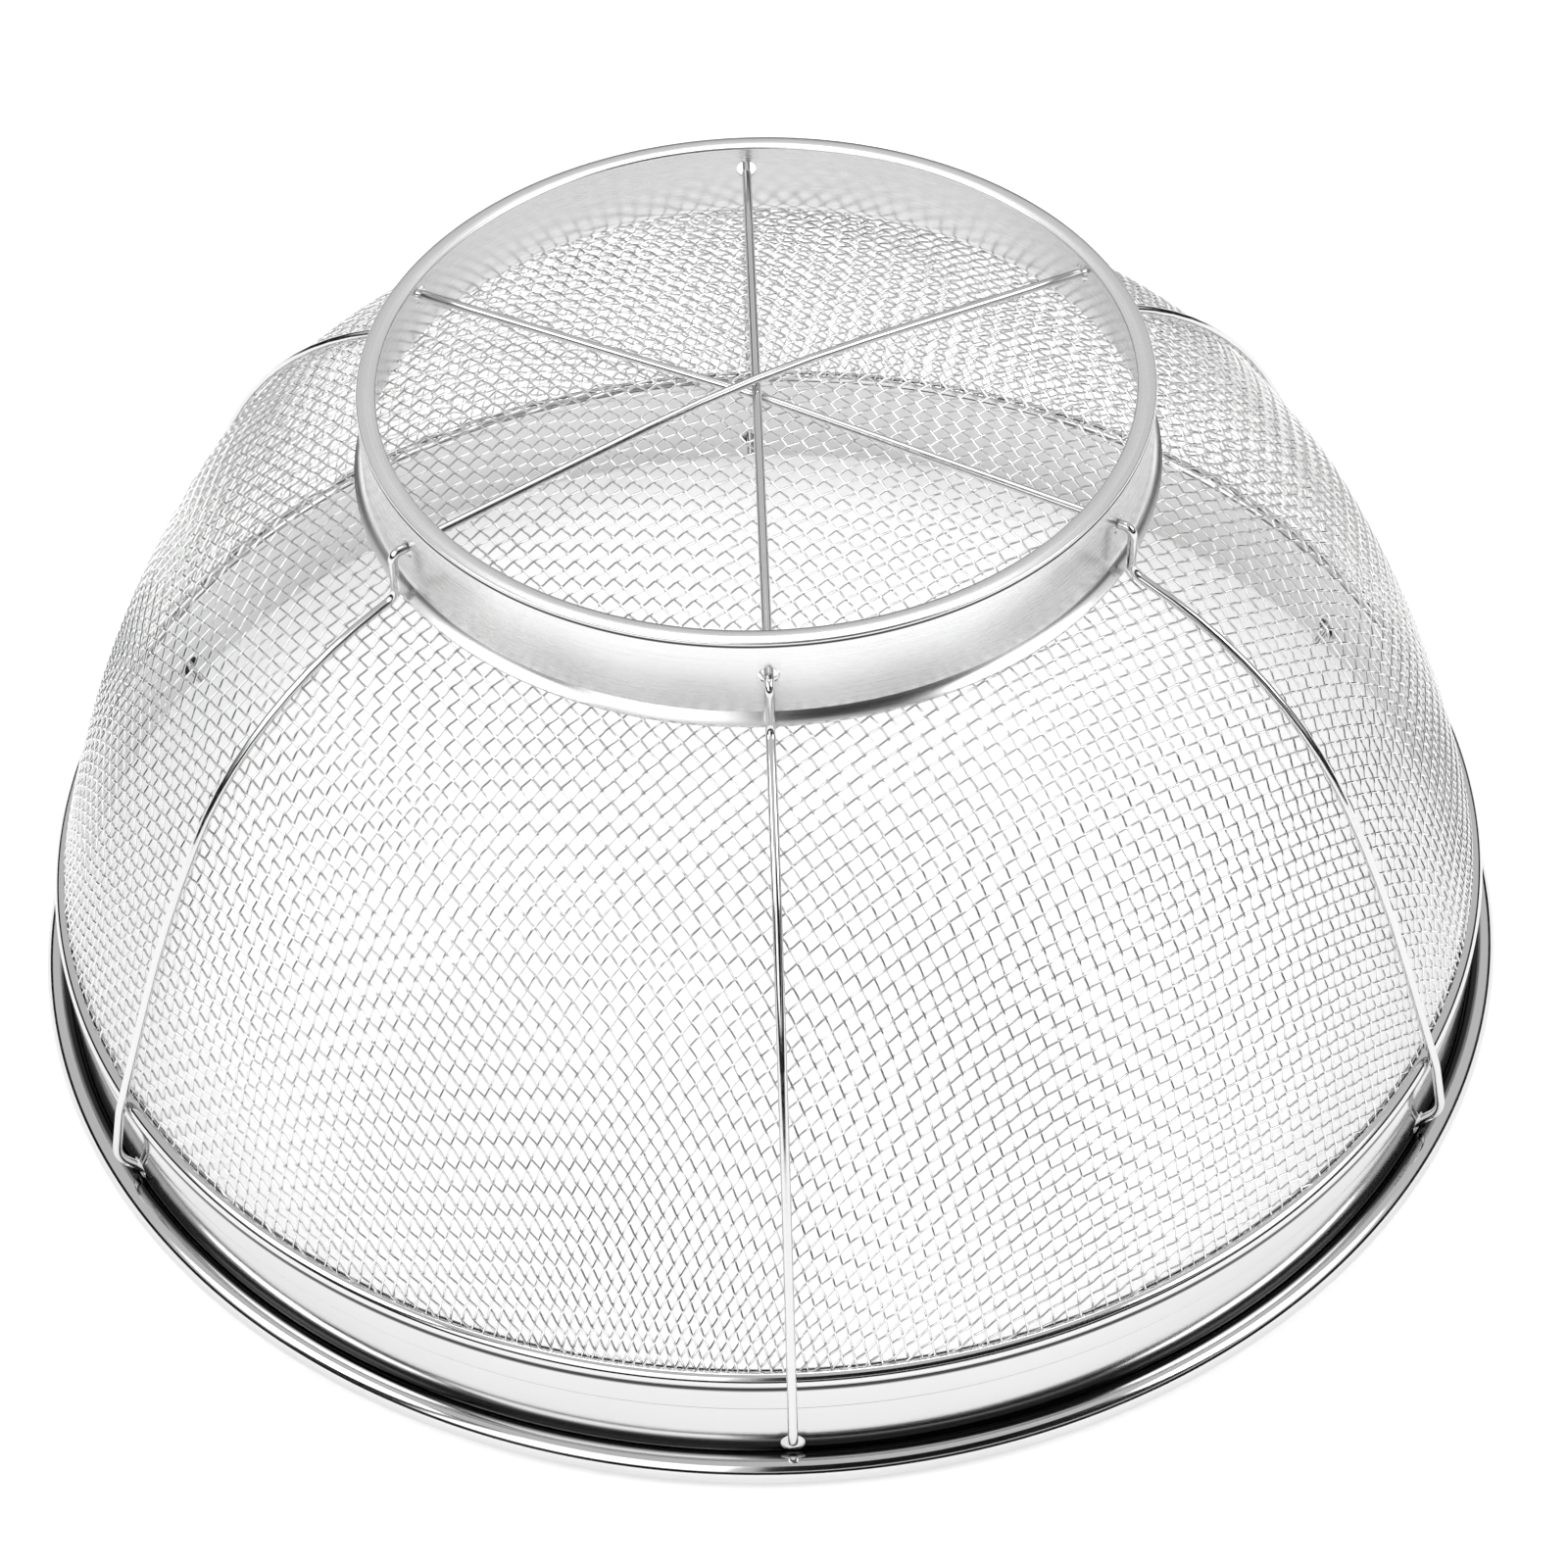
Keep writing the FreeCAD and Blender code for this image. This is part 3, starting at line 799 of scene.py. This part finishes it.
class COLANDER_OT_weave_cloth(bpy.types.Operator):
    """Weave the bowl's wire cloth in place of its plain CAD shell"""

    bl_idname = "colander.weave_cloth"
    bl_label = "Weave the wire cloth"

    GROUPS = 4

    def execute(self, context):
        cloth = context.scene.colander_cloth
        material = cloth_finish(tuple(context.scene.colander_steel.cloth_colour))
        tree = crimped_wire_tree()
        section = BowlSection(cloth)
        for name, along_first in (("cloth_warp", True), ("cloth_weft", False)):
            wires = cloth_wires(section, cloth, along_first)
            for number, group in enumerate(share_out(wires, self.GROUPS), start=1):
                made = chains_object(f"{name}_{number}", group)
                radius = cloth.wire_radius
                draw_wires(made, tree, radius, radius, cloth.wire_sides, cloth.wire_steps, material)
                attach(made, "root")
                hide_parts("mesh_bowl")
        return {"FINISHED"}


# ---------------------------------------------------------------- turned rings


ARC_FINE = math.radians(15)
ARC_STEP = math.radians(5)
SHARP_SHEET = math.radians(25)
PIN_SIDES = 48
PIN_PAST_BAND = 0.15 * MM


def arc_points(centre, radius, start, end, step=ARC_STEP):
    """Points along an arc, from one angle to another, either way round."""
    count = max(2, int(abs(end - start) / step))
    angles = np.linspace(start, end, count + 1)
    return [(centre[0] + radius * math.cos(a), centre[1] + radius * math.sin(a)) for a in angles]


def side_angle(centre, radius, across, upper):
    """Angle on a circle where it reaches a given radius from the axis."""
    angle = math.acos((across - centre[0]) / radius)
    return angle if upper else -angle


def turned_ring(name, outline, steps):
    """Closed ring: an outline of (radius, height) points turned right round the axis."""
    rows = np.array(outline)
    around = np.arange(steps) * 2 * math.pi / steps
    points = np.stack(
        [
            np.outer(np.cos(around), rows[:, 0]),
            np.outer(np.sin(around), rows[:, 0]),
            np.broadcast_to(rows[:, 1], (steps, len(rows))),
        ],
        -1,
    ).reshape(-1, 3)
    k, m = np.meshgrid(np.arange(steps), np.arange(len(rows)), indexing="ij")
    after, up = (k + 1) % steps, (m + 1) % len(rows)
    count = len(rows)
    faces = np.stack([k * count + m, after * count + m, after * count + up, k * count + up], -1)
    return mesh_object(name, points.tolist(), faces=faces.reshape(-1, 4).tolist())


def drill_holes(made, height, radius, reach):
    """Six radial holes, cut with one object of three long pins."""
    points, faces = [], []
    for angle in RIB_ANGLES.values():
        along = np.array([math.cos(angle), math.sin(angle), 0.0])
        across = np.array([-math.sin(angle), math.cos(angle), 0.0])
        for way in (-1, 1):
            start = len(points)
            for k in range(PIN_SIDES):
                turn = 2 * math.pi * k / PIN_SIDES
                rim = across * math.cos(turn) * radius * way
                rim += np.array([0, 0, math.sin(turn) * radius])
                for stop in reach:
                    points.append((along * way * stop + rim + np.array([0, 0, height])).tolist())
            ring = [start + 2 * k for k in range(PIN_SIDES)]
            faces += [ring[::-1], [item + 1 for item in ring]]
            for one, two in zip(ring, ring[1:] + ring[:1]):
                faces.append([one, two, two + 1, one + 1])
    pins = mesh_object(f"{made.name}_pins", points, faces=faces)
    cut = made.modifiers.new("holes", "BOOLEAN")
    cut.operation = "DIFFERENCE"
    cut.solver = "EXACT"
    cut.object = pins
    to_plain_mesh(made)
    bpy.data.objects.remove(pins)


def finish_ring(made, node_name, material):
    """Smooth a turned ring between its real edges and let it stand for its CAD node."""
    mesh = made.data
    mesh.polygons.foreach_set("use_smooth", [True] * len(mesh.polygons))
    mesh.set_sharp_from_angle(angle=SHARP_SHEET)
    mesh.materials.clear()
    mesh.materials.append(material)
    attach(made, "root")
    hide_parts(node_name)


class COLANDER_OT_turn_rim(bpy.types.Operator):
    """Turn the rolled rim band with its rib holes, and finish the core wire inside it"""

    bl_idname = "colander.turn_rim"
    bl_label = "Turn the rim band"

    def execute(self, context):
        sheet = context.scene.colander_sheet
        colour = tuple(context.scene.colander_steel.rim_colour)
        bend = sheet.curl_radius
        centre = (RIM_RADIUS - bend, bend)
        band_in = centre[0] - bend
        band_out = band_in + sheet.gauge
        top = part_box("rim_band")[1].z
        edge = band_out + sheet.curl_slit
        outer_end = side_angle(centre, bend, edge, True) + 2 * math.pi
        inner_end = side_angle(centre, bend - sheet.gauge, edge, True) + 2 * math.pi
        outline = [(band_in, top), *arc_points(centre, bend, math.pi, outer_end)]
        outline += [*arc_points(centre, bend - sheet.gauge, inner_end, math.pi), (band_out, top)]
        made = turned_ring("rim_band_rolled", outline, sheet.turned_steps)
        reach = (band_in - bend, band_out + PIN_PAST_BAND)
        drill_holes(made, sheet.rim_hole_height, sheet.rim_hole_radius, reach)
        # Each seam of painted shade is a radius, a height and how far the shade reaches: on the
        # curl's top beside its slit, and on the band just under the binding's skirt.
        seams = [
            (edge + 0.8 * MM, 2 * bend - 0.35 * MM, 1.35 * MM),
            (band_out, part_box("mesh_binding_ring")[0].z - sheet.curl_slit, 0.5 * MM),
        ]
        grain = (0.05, 0.16, 9000.0, 0.004 * MM)
        polished = turned_finish("steel_rim_polished", colour, *grain, seams)
        finish_ring(made, "rim_band", polished)
        give_finish("rim_core_wire", rib_finish(colour))
        return {"FINISHED"}


class COLANDER_OT_turn_binding(bpy.types.Operator):
    """Turn the bead and skirt that clamp the cloth's edge"""

    bl_idname = "colander.turn_binding"
    bl_label = "Turn the binding ring"

    def execute(self, context):
        sheet, cloth = context.scene.colander_sheet, context.scene.colander_cloth
        colour = tuple(context.scene.colander_steel.rim_colour)
        centre = (cloth.mouth_radius, cloth.mouth_height)
        wall = BEAD_RADIUS - sheet.binding_gauge
        skirt_out = BINDING_TOP.x - sheet.binding_proud
        skirt_in = skirt_out - sheet.binding_gauge
        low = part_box("mesh_binding_ring")[0].z
        # Between the wires the bead's lips are pressed almost shut.
        half = sheet.lip_gap / 2
        middle = centre[0] - BEAD_RADIUS * math.tan(cloth.mouth_lean)
        outer_lip, inner_lip = middle + half, middle - half
        round_off = 0.45 * sheet.binding_gauge
        corner = (skirt_out - round_off, low + round_off)
        outline = arc_points(corner, round_off, -math.pi / 2, 0, ARC_FINE)
        start = side_angle(centre, BEAD_RADIUS, skirt_out, False)
        stop = side_angle(centre, BEAD_RADIUS, outer_lip, True)
        outline += arc_points(centre, BEAD_RADIUS, start, stop)
        stop = side_angle(centre, wall, inner_lip, True) - 2 * math.pi
        outline += arc_points(centre, wall, side_angle(centre, wall, outer_lip, True), stop)
        start = side_angle(centre, BEAD_RADIUS, inner_lip, True) - 2 * math.pi
        stop = side_angle(centre, BEAD_RADIUS, skirt_in, False)
        outline += arc_points(centre, BEAD_RADIUS, start, stop)
        outline.append((skirt_in, low))
        made = turned_ring("binding_bead_and_skirt", outline, sheet.turned_steps)
        # Painted shade, near black, on the underside of the bead where it meets its skirt.
        seams = [(skirt_out, centre[1] - BEAD_RADIUS / 2, 0.9 * MM)]
        grain = (0.05, 0.15, 8000.0, 0.004 * MM)
        polished = turned_finish("steel_binding_polished", colour, *grain, seams)
        finish_ring(made, "mesh_binding_ring", polished)
        return {"FINISHED"}


class COLANDER_OT_turn_foot_ring(bpy.types.Operator):
    """Turn the foot ring with its hem, flare and rib holes"""

    bl_idname = "colander.turn_foot_ring"
    bl_label = "Turn the foot ring"

    def execute(self, context):
        sheet = context.scene.colander_sheet
        colour = tuple(context.scene.colander_steel.foot_colour)
        low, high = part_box("foot_ring")[0].z, FOOT_TOP.z
        flare, gauge, bend = sheet.flare_radius, sheet.gauge, sheet.hem_round
        band_out = FOOT_TOP.x - flare
        hem_in, hem_low = band_out - sheet.hem_width, high - sheet.hem_thickness
        centre = (FOOT_TOP.x, low + gauge + flare)
        quarter = math.pi / 2
        # The flare is a nearly straight flange, a little hollow between the lip and the band.
        outline = [(FOOT_TOP.x, low)]
        for share in np.linspace(0, 1, 7):
            dip = 4 * sheet.flare_dip * share * (1 - share) / math.sqrt(2)
            outline.append((FOOT_TOP.x - flare * share - dip, low + gauge + flare * share - dip))
        # The hem's top is crowned: one wide arc between the two rounded edges.
        middle, slope = (hem_in + band_out) / 2, sheet.hem_crown
        crown = bend + (band_out - bend - middle) / math.sin(slope)
        edge_height = high - crown + (crown - bend) * math.cos(slope)
        outline += arc_points((band_out - bend, edge_height), bend, 0, quarter - slope)
        outline += arc_points((middle, high - crown), crown, quarter - slope, quarter + slope)[1:-1]
        outline += arc_points((hem_in + bend, edge_height), bend, quarter + slope, math.pi)
        under = edge_height - hem_low
        outline += arc_points((hem_in + under, hem_low + under), under, math.pi, 3 * quarter)[1:]
        outline.append((band_out - gauge, hem_low))
        outline += arc_points(centre, flare + gauge, math.pi, 3 * quarter)[:-1]
        made = turned_ring("foot_ring_hemmed", outline, sheet.turned_steps)
        drill_holes(made, high - sheet.foot_hole_drop, sheet.foot_hole_radius, (hem_in, FOOT_TOP.x))
        # Painted shade, near black, in the crease under the hem where it meets the band.
        seams = [(band_out, hem_low, 0.35 * MM)]
        satin = turned_finish("steel_foot_satin", colour, 0.18, 0.34, 7000.0, 0.006 * MM, seams)
        finish_ring(made, "foot_ring", satin)
        return {"FINISHED"}


# ---------------------------------------------------------------- ribs

SHARP_WIRE = math.radians(50)


def tangent_corner(arc, first, last, offset):
    """Where the tangents at two slopes of an arc of the bowl meet."""
    centre, bend, _, _ = arc
    return centre + outward((first + last) / 2) * ((bend + offset) / math.cos((last - first) / 2))


def rib_corners(scene, level):
    """Corners and bend radii of half a rib, from the middle outwards."""
    ribs, sheet, cloth = scene.colander_ribs, scene.colander_sheet, scene.colander_cloth
    dome, shoulder, side = BowlSection(cloth).arcs
    radius, gap = ribs.wire_radius, ribs.gap
    offset = CLOTH_THICKNESS / 2 + gap + radius
    crossing_bend = dome[1] + offset + level * (2 * radius + gap)
    band_middle = FOOT_TOP.x - sheet.flare_radius - sheet.gauge / 2
    foot_hole = np.array([band_middle, FOOT_TOP.z - sheet.foot_hole_drop])
    reach = foot_hole - dome[0]
    fall = math.atan2(reach[0], reach[1]) - math.acos(crossing_bend / np.linalg.norm(reach))
    peak = dome[0] + (0, crossing_bend / math.cos(fall))
    run = FOOT_TOP.x + radius + 2 * gap
    elbow = peak + (foot_hole - peak) * (run / foot_hole[0])
    landing = math.asin((run + ribs.heel_bend - shoulder[0][0]) / (shoulder[1] + offset))
    contact = shoulder[0] + outward(landing) * (shoulder[1] + offset)
    heel = np.array([run, contact[1] + ribs.heel_bend * math.tan(landing)])
    bead_reach = BEAD_RADIUS + gap + radius
    parting = side[3] - math.acos((side[1] + offset - bead_reach) / side[1])
    leaving = side[0] + outward(parting) * (side[1] + offset)
    drop = leaving[1] - cloth.mouth_height
    bead = leaving + heading(parting) * (drop / math.sin(parting))
    bow = np.array([RIM_RADIUS - ribs.bow_inset, ribs.bow_height])
    wall_middle = RIM_RADIUS - 2 * sheet.curl_radius + sheet.gauge / 2
    rim_hole = np.array([wall_middle, sheet.rim_hole_height])
    tail = rim_hole + (rim_hole - bow) / np.linalg.norm(rim_hole - bow) * ribs.tail
    return [
        (peak, crossing_bend),
        (elbow, ribs.elbow_bend),
        (heel, ribs.heel_bend),
        (tangent_corner(shoulder, landing, shoulder[3], offset), shoulder[1] + offset),
        (tangent_corner(side, side[2], parting, offset), side[1] + offset),
        (bead, ribs.bead_bend),
        (bow, ribs.bow_bend),
        (tail, 0.0),
    ]


def bent_points(corners):
    """Points along a wire given by corners and bend radii, close together round each bend."""
    points = [corners[0][0]]
    for number in range(1, len(corners)):
        corner, bend = corners[number]
        arrive = corner - points[-1]
        arrive /= np.linalg.norm(arrive)
        if bend == 0.0:
            points.append(corner)
            continue
        leave = corners[number + 1][0] - corner
        leave /= np.linalg.norm(leave)
        turn = math.acos(float(np.clip(arrive @ leave, -1, 1)))
        cut = bend * math.tan(turn / 2)
        inner = (leave - arrive) / np.linalg.norm(leave - arrive)
        centre = corner + inner * (bend / math.cos(turn / 2))
        start = corner - arrive * cut - centre
        normal = -start / bend
        for share in np.linspace(0, 1, max(4, int(turn / math.radians(4))) + 1):
            spin = share * turn
            points.append(centre - normal * bend * math.cos(spin) + arrive * bend * math.sin(spin))
    return np.array(points)


class COLANDER_OT_bend_ribs(bpy.types.Operator):
    """Bend the three long rib wires that cross over the dome"""

    bl_idname = "colander.bend_ribs"
    bl_label = "Bend the rib wires"

    def execute(self, context):
        scene = context.scene
        ribs = scene.colander_ribs
        drawn = rib_finish(tuple(scene.colander_steel.rib_colour))
        tree = crimped_wire_tree()
        for level, (name, angle) in enumerate(RIB_ANGLES.items()):
            half = rib_corners(scene, level)
            mirrored = [(spot * (-1, 1), bend) for spot, bend in reversed(half[1:])]
            line = bent_points(mirrored + half)
            across, height = line.T
            # A rib isn't crimped, so its normals and lifts are nought.
            unused = np.zeros((len(line), 4))
            x, y = across * math.cos(angle), across * math.sin(angle)
            made = chains_object(f"{name}_drawn", [np.column_stack([x, y, height, unused])])
            draw_wires(made, tree, ribs.wire_radius, 0.0, ribs.wire_sides, 1, drawn)
            made.data.set_sharp_from_angle(angle=SHARP_WIRE)
            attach(made, "root")
            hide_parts(name)
        return {"FINISHED"}


# ---------------------------------------------------------------- stage


TABLE_SIZE = 6.0
TABLE_DROP = 0.05 * MM
CARD_STEPS = 64
# Cards round the table: radius, lower and upper edge, bearings in degrees, and whether lit.
CARDS = {
    "card_low": (2.4, (0.0, 0.75), (0, 360), False),
    "card_front_right": (1.9, (0.8, 3.3), (-94, -28), False),
    "card_front_left": (1.9, (0.6, 3.3), (-158, -140), False),
    "card_lit": (1.9, (0.7, 3.4), (-138, -98), True),
}
# Lights: bearing and elevation in degrees, distance, width and power.
LIGHTS = {
    "light_left": (-165, 42, 1.6, 0.9, 6.0),
    "light_right": (-15, 42, 1.6, 0.9, 6.0),
    "light_top": (90, 72, 1.5, 0.8, 4.0),
}


def stage_object(name, points, faces, material):
    """Mesh that belongs to the stage and not to the part."""
    made = mesh_object(name, points, faces=faces)
    made.data.materials.append(material)
    return made


def card_wall(name, radius, heights, bearings, material):
    """Upright card bent round the table, seen only in the steel, between bearings in degrees."""
    points, faces = [], []
    for k in range(CARD_STEPS + 1):
        angle = math.radians(bearings[0] + (bearings[1] - bearings[0]) * k / CARD_STEPS)
        x, y = radius * math.cos(angle), radius * math.sin(angle)
        points += [(x, y, height) for height in heights]
        if k < CARD_STEPS:
            faces.append((2 * k, 2 * k + 1, 2 * k + 3, 2 * k + 2))
    made = stage_object(name, points, faces, material)
    made.visible_camera = made.visible_diffuse = made.visible_shadow = False


def facing(azimuth, elevation, distance):
    """Placement at a bearing and elevation round the object, looking back at it."""
    level = math.cos(elevation) * distance
    rise = math.sin(elevation) * distance
    spot = Vector((level * math.cos(azimuth), level * math.sin(azimuth), rise))
    turn = spot.to_track_quat("Z", "Y").to_matrix().to_4x4()
    return Matrix.Translation(spot) @ turn


def matt_material(name, shade, spread, grain, rough, glow):
    """Matt surface with a grain of a given scale and detail, that may glow."""
    material, tree, shader, place = new_material(name)
    mottled = tint(tree, noise(tree, place, *grain), (shade, shade, shade), spread)
    tree.links.new(mottled, shader.inputs["Base Color"])
    shader.inputs["Roughness"].default_value = rough
    shader.inputs["Specular IOR Level"].default_value = 0.0
    shader.inputs["Emission Color"].default_value = (1, 1, 1, 1)
    shader.inputs["Emission Strength"].default_value = glow
    return material


def area_light(name, azimuth, elevation, distance, size, power):
    light = bpy.data.lights.new(name, "AREA")
    light.shape = "DISK"
    light.size = size
    light.energy = power
    made = new_object(name, light)
    made.matrix_world = facing(math.radians(azimuth), math.radians(elevation), distance)


class COLANDER_OT_set_stage(bpy.types.Operator):
    """Set the lit white table, the light tent and the camera"""

    bl_idname = "colander.set_stage"
    bl_label = "Set the stage"

    def execute(self, context):
        scene = context.scene
        stage = scene.colander_stage
        world = bpy.data.worlds.new("white_tent")
        world.use_nodes = True
        sky = world.node_tree.nodes["Background"]
        sky.inputs["Color"].default_value = (1, 1, 1, 1)
        sky.inputs["Strength"].default_value = stage.sky_strength
        scene.world = world
        scene.view_settings.view_transform = "Standard"
        half = TABLE_SIZE / 2
        around = ((-half, -half), (half, -half), (half, half), (-half, half))
        corners = [(x, y, -TABLE_DROP) for x, y in around]
        white = matt_material("white_table", 0.93, 0.01, (40.0, 3.0), 0.9, stage.floor_glow)
        stage_object("table", corners, [(0, 1, 2, 3)], white)
        black = matt_material("black_card", 0.012, 0.4, (300.0, 2.0), 1.0, 0.0)
        glowing = matt_material("lit_card", 0.8, 0.4, (300.0, 2.0), 1.0, 1.2)
        for name, (radius, heights, bearings, lit) in CARDS.items():
            card_wall(name, radius, heights, bearings, glowing if lit else black)
        for name, placing in LIGHTS.items():
            area_light(name, *placing)
        lens = bpy.data.cameras.new("camera")
        lens.sensor_width = 36.0
        lens.lens = stage.camera_lens
        lens.clip_start = 0.01
        camera = new_object("camera", lens)
        aim = Matrix.Rotation(-stage.camera_pan, 4, "Y")
        aim = aim @ Matrix.Rotation(stage.camera_tilt, 4, "X")
        aim = aim @ Matrix.Rotation(stage.camera_roll, 4, "Z")
        place = facing(stage.camera_azimuth, stage.camera_elevation, stage.camera_distance)
        camera.matrix_world = place @ aim
        scene.camera = camera
        return {"FINISHED"}


# ---------------------------------------------------------------- panel and registration


class COLANDER_PT_build(bpy.types.Panel):
    """Steps that build the colander's looks"""

    bl_label = "Wire Mesh Colander"
    bl_space_type = "VIEW_3D"
    bl_region_type = "UI"
    bl_category = "Colander"

    def draw(self, context):
        for step in STEPS:
            self.layout.operator(step.bl_idname)


STEPS = (
    COLANDER_OT_weave_cloth,
    COLANDER_OT_turn_rim,
    COLANDER_OT_turn_binding,
    COLANDER_OT_turn_foot_ring,
    COLANDER_OT_bend_ribs,
    COLANDER_OT_set_stage,
)
SETTINGS = {
    "colander_cloth": ClothSettings,
    "colander_sheet": SheetSettings,
    "colander_ribs": RibSettings,
    "colander_steel": SteelSettings,
    "colander_stage": StageSettings,
}


def register():
    for name, group in SETTINGS.items():
        bpy.utils.register_class(group)
        setattr(bpy.types.Scene, name, PointerProperty(type=group))
    for item in (*STEPS, COLANDER_PT_build):
        bpy.utils.register_class(item)


def unregister():
    for item in reversed((*STEPS, COLANDER_PT_build)):
        bpy.utils.unregister_class(item)
    for name, group in SETTINGS.items():
        delattr(bpy.types.Scene, name)
        bpy.utils.unregister_class(group)


def main():
    register()
    bpy.ops.colander.weave_cloth()
    bpy.ops.colander.turn_rim()
    bpy.ops.colander.turn_binding()
    bpy.ops.colander.turn_foot_ring()
    bpy.ops.colander.bend_ribs()
    bpy.ops.colander.set_stage()


if __name__ == "__main__":
    main()
